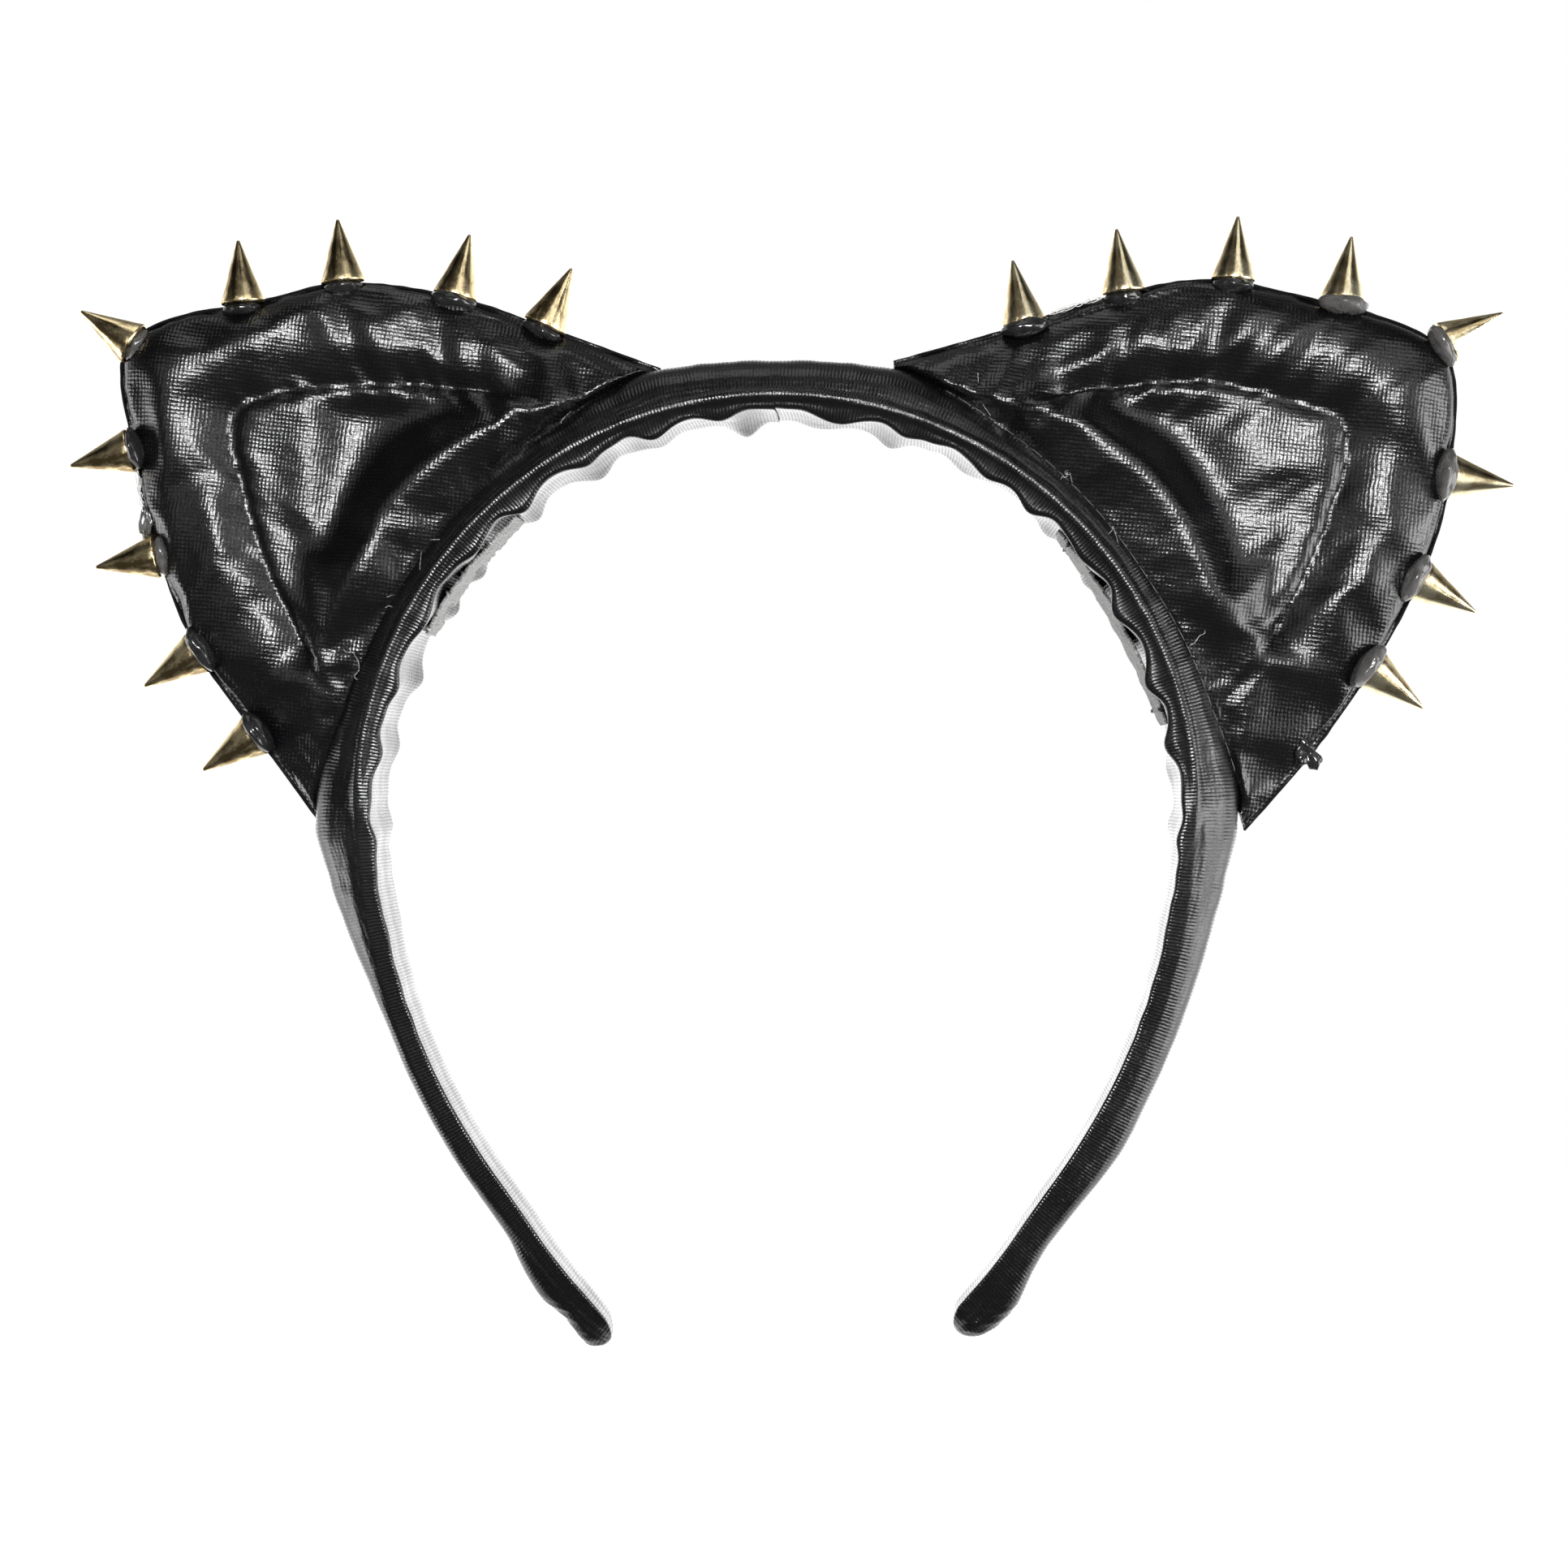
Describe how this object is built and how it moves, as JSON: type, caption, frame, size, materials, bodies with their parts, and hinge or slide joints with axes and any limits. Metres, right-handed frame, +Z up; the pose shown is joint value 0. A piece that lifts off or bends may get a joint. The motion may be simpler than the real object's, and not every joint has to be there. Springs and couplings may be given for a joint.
{
  "type": "animal ears headband",
  "caption": "Padded headband on a springy strip, with two upright quilted fabric ears edged in metal cone spikes; it bends open to grip the head.",
  "frame": {"origin": "middle of the crown's underside, where the band rests on the head", "axes": "+X along the band's width towards the right ear seen from the front, +Y to the back, +Z up"},
  "size_m": [0.2237, 0.02, 0.1734],
  "materials": {
    "black_fabric": "fine rib knit with a soft wet-look sheen",
    "raw_fabric": "matt raw backing, speckled",
    "thread": "matt twisted thread",
    "strip_plastic": "moulded",
    "foam": "open-cell sponge",
    "wadding": "loose fibre",
    "stiffener": "pressed felt",
    "spike_metal": "polished antique gold plate",
    "hot_glue": "cloudy, set hot glue"
  },
  "bodies": {
    "crown": {"core_crown": "strip_plastic", "foam_crown": "foam", "sleeve_crown": "black_fabric"},
    "left_side": {"core_left": "strip_plastic", "ear_left_back_cover": "black_fabric", "ear_left_front_cover": "black_fabric", "ear_left_quilting": "thread", "ear_left_seam": "thread", "ear_left_stiffener": "stiffener", "ear_left_wadding": "wadding", "foam_left": "foam", "glue_left_1": "hot_glue", "glue_left_2": "hot_glue", "glue_left_3": "hot_glue", "glue_left_4": "hot_glue", "glue_left_5": "hot_glue", "glue_left_6": "hot_glue", "glue_left_7": "hot_glue", "glue_left_8": "hot_glue", "glue_left_9": "hot_glue", "sleeve_left": "black_fabric", "spike_left_1": "spike_metal", "spike_left_2": "spike_metal", "spike_left_3": "spike_metal", "spike_left_4": "spike_metal", "spike_left_5": "spike_metal", "spike_left_6": "spike_metal", "spike_left_7": "spike_metal", "spike_left_8": "spike_metal", "spike_left_9": "spike_metal", "wrap_tab_left": "raw_fabric"},
    "right_side": {"core_right": "strip_plastic", "ear_right_back_cover": "black_fabric", "ear_right_front_cover": "black_fabric", "ear_right_quilting": "thread", "ear_right_seam": "thread", "ear_right_stiffener": "stiffener", "ear_right_wadding": "wadding", "foam_right": "foam", "glue_right_1": "hot_glue", "glue_right_2": "hot_glue", "glue_right_3": "hot_glue", "glue_right_4": "hot_glue", "glue_right_5": "hot_glue", "glue_right_6": "hot_glue", "glue_right_7": "hot_glue", "glue_right_8": "hot_glue", "glue_right_residue": "hot_glue", "sleeve_right": "black_fabric", "spike_right_1": "spike_metal", "spike_right_2": "spike_metal", "spike_right_3": "spike_metal", "spike_right_4": "spike_metal", "spike_right_5": "spike_metal", "spike_right_6": "spike_metal", "spike_right_7": "spike_metal", "spike_right_8": "spike_metal", "wrap_tab_right": "raw_fabric"}
  },
  "joints": [
    {"name": "left_flex", "type": "hinge", "parent": "crown", "child": "left_side", "pos_m": [-0.01193, 0, 0.0008], "axis": [0, 1, 0], "range_deg": [-3, 15], "stiffness_Nm_per_rad": 1.4},
    {"name": "right_flex", "type": "hinge", "parent": "crown", "child": "right_side", "pos_m": [0.01193, 0, 0.0008], "axis": [0, -1, 0], "range_deg": [-3, 15], "stiffness_Nm_per_rad": 1.4}
  ]
}
